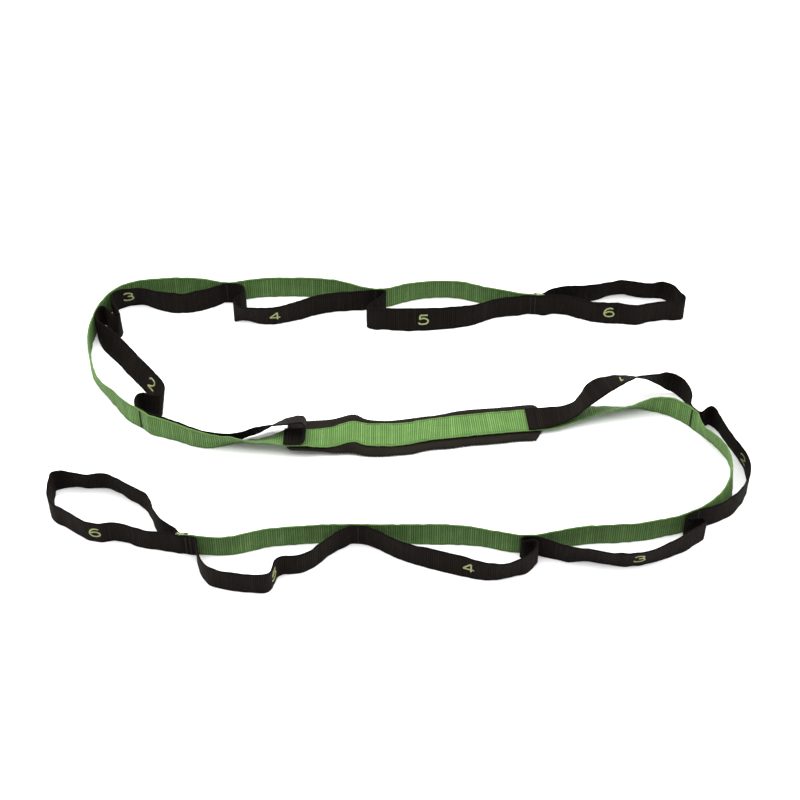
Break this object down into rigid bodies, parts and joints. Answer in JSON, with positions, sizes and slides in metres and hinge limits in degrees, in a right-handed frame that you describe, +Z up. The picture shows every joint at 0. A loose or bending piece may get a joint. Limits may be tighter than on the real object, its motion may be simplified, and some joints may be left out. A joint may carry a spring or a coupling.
{
  "type": "multi-loop stretching strap",
  "caption": "Physiotherapy stretching strap: a long green webbing with numbered black webbing loops sewn along it and a flat padded grip in the middle, laid out in an S.",
  "frame": {"origin": "centre of the laid-out strap's footprint, on the surface it lies on", "axes": "+X along the long side of the S, toward the right half of the strap; +Y across it; +Z up"},
  "size_m": [0.5989, 0.3405, 0.039],
  "materials": {
    "green_webbing": "ribbed woven nylon, soft sheen",
    "black_webbing": "ribbed woven nylon, matte",
    "number_thread": "satin-stitched embroidery thread",
    "tack_thread": "bar-tacked polyester thread",
    "pad_cover": "brushed knit over soft foam, matte",
    "pad_thread": "lock-stitched polyester thread"
  },
  "bodies": {
    "grip": {"webbing_green_mid": "green_webbing", "webbing_black_l1": "black_webbing", "webbing_black_r1": "black_webbing", "number_l1": "number_thread", "number_r1": "number_thread", "pad": "pad_cover", "pad_stitching": "pad_thread", "tack_l12": "tack_thread", "tack_r12": "tack_thread"},
    "loop_l2": {"webbing_green_l2": "green_webbing", "webbing_black_l2": "black_webbing", "number_l2": "number_thread", "tack_l23": "tack_thread"},
    "loop_l3": {"webbing_green_l3": "green_webbing", "webbing_black_l3": "black_webbing", "number_l3": "number_thread", "tack_l34": "tack_thread"},
    "loop_l4": {"webbing_green_l4": "green_webbing", "webbing_black_l4": "black_webbing", "number_l4": "number_thread", "tack_l45": "tack_thread"},
    "loop_l5": {"webbing_green_l5": "green_webbing", "webbing_black_l5": "black_webbing", "number_l5": "number_thread", "tack_l56": "tack_thread"},
    "loop_l6": {"webbing_black_l6": "black_webbing", "webbing_green_end_l": "green_webbing", "number_l6": "number_thread", "tack_l6": "tack_thread"},
    "loop_r2": {"webbing_green_r2": "green_webbing", "webbing_black_r2": "black_webbing", "number_r2": "number_thread", "tack_r23": "tack_thread"},
    "loop_r3": {"webbing_green_r3": "green_webbing", "webbing_black_r3": "black_webbing", "number_r3": "number_thread", "tack_r34": "tack_thread"},
    "loop_r4": {"webbing_green_r4": "green_webbing", "webbing_black_r4": "black_webbing", "number_r4": "number_thread", "tack_r45": "tack_thread"},
    "loop_r5": {"webbing_green_r5": "green_webbing", "webbing_black_r5": "black_webbing", "number_r5": "number_thread", "tack_r56": "tack_thread"},
    "loop_r6": {"webbing_black_r6": "black_webbing", "webbing_green_end_r": "green_webbing", "number_r6": "number_thread", "tack_r6": "tack_thread"}
  },
  "joints": [
    {"name": "tack_l12_fold", "type": "hinge", "parent": "grip", "child": "loop_l2", "pos_m": [-0.22832, 0.00979, 0.0127], "axis": [0, 0, 1], "range_deg": [-1.5, 45]},
    {"name": "tack_l23_fold", "type": "hinge", "parent": "loop_l2", "child": "loop_l3", "pos_m": [-0.27632, 0.12483, 0.0127], "axis": [0, 0, 1], "range_deg": [-1.5, 45]},
    {"name": "tack_l34_fold", "type": "hinge", "parent": "loop_l3", "child": "loop_l4", "pos_m": [-0.157, 0.1603, 0.0127], "axis": [0, 0, 1], "range_deg": [-2, 45]},
    {"name": "tack_l45_fold", "type": "hinge", "parent": "loop_l4", "child": "loop_l5", "pos_m": [-0.02, 0.1523, 0.0127], "axis": [0, 0, 1], "range_deg": [-3, 45]},
    {"name": "tack_l56_fold", "type": "hinge", "parent": "loop_l5", "child": "loop_l6", "pos_m": [0.12194, 0.1453, 0.0127], "axis": [0, 0, 1], "range_deg": [-4, 45]},
    {"name": "tack_r12_fold", "type": "hinge", "parent": "grip", "child": "loop_r2", "pos_m": [0.25754, 0.00805, 0.0127], "axis": [0, 0, 1], "range_deg": [-1.5, 45]},
    {"name": "tack_r23_fold", "type": "hinge", "parent": "loop_r2", "child": "loop_r3", "pos_m": [0.2483, -0.10213, 0.0127], "axis": [0, 0, 1], "range_deg": [-1.5, 45]},
    {"name": "tack_r34_fold", "type": "hinge", "parent": "loop_r3", "child": "loop_r4", "pos_m": [0.108, -0.1287, 0.0127], "axis": [0, 0, 1], "range_deg": [-2, 15]},
    {"name": "tack_r45_fold", "type": "hinge", "parent": "loop_r4", "child": "loop_r5", "pos_m": [-0.037, -0.1177, 0.0127], "axis": [0, 0, 1], "range_deg": [-3, 45]},
    {"name": "tack_r56_fold", "type": "hinge", "parent": "loop_r5", "child": "loop_r6", "pos_m": [-0.1761, -0.12869, 0.0127], "axis": [0, 0, 1], "range_deg": [-4, 45]}
  ]
}
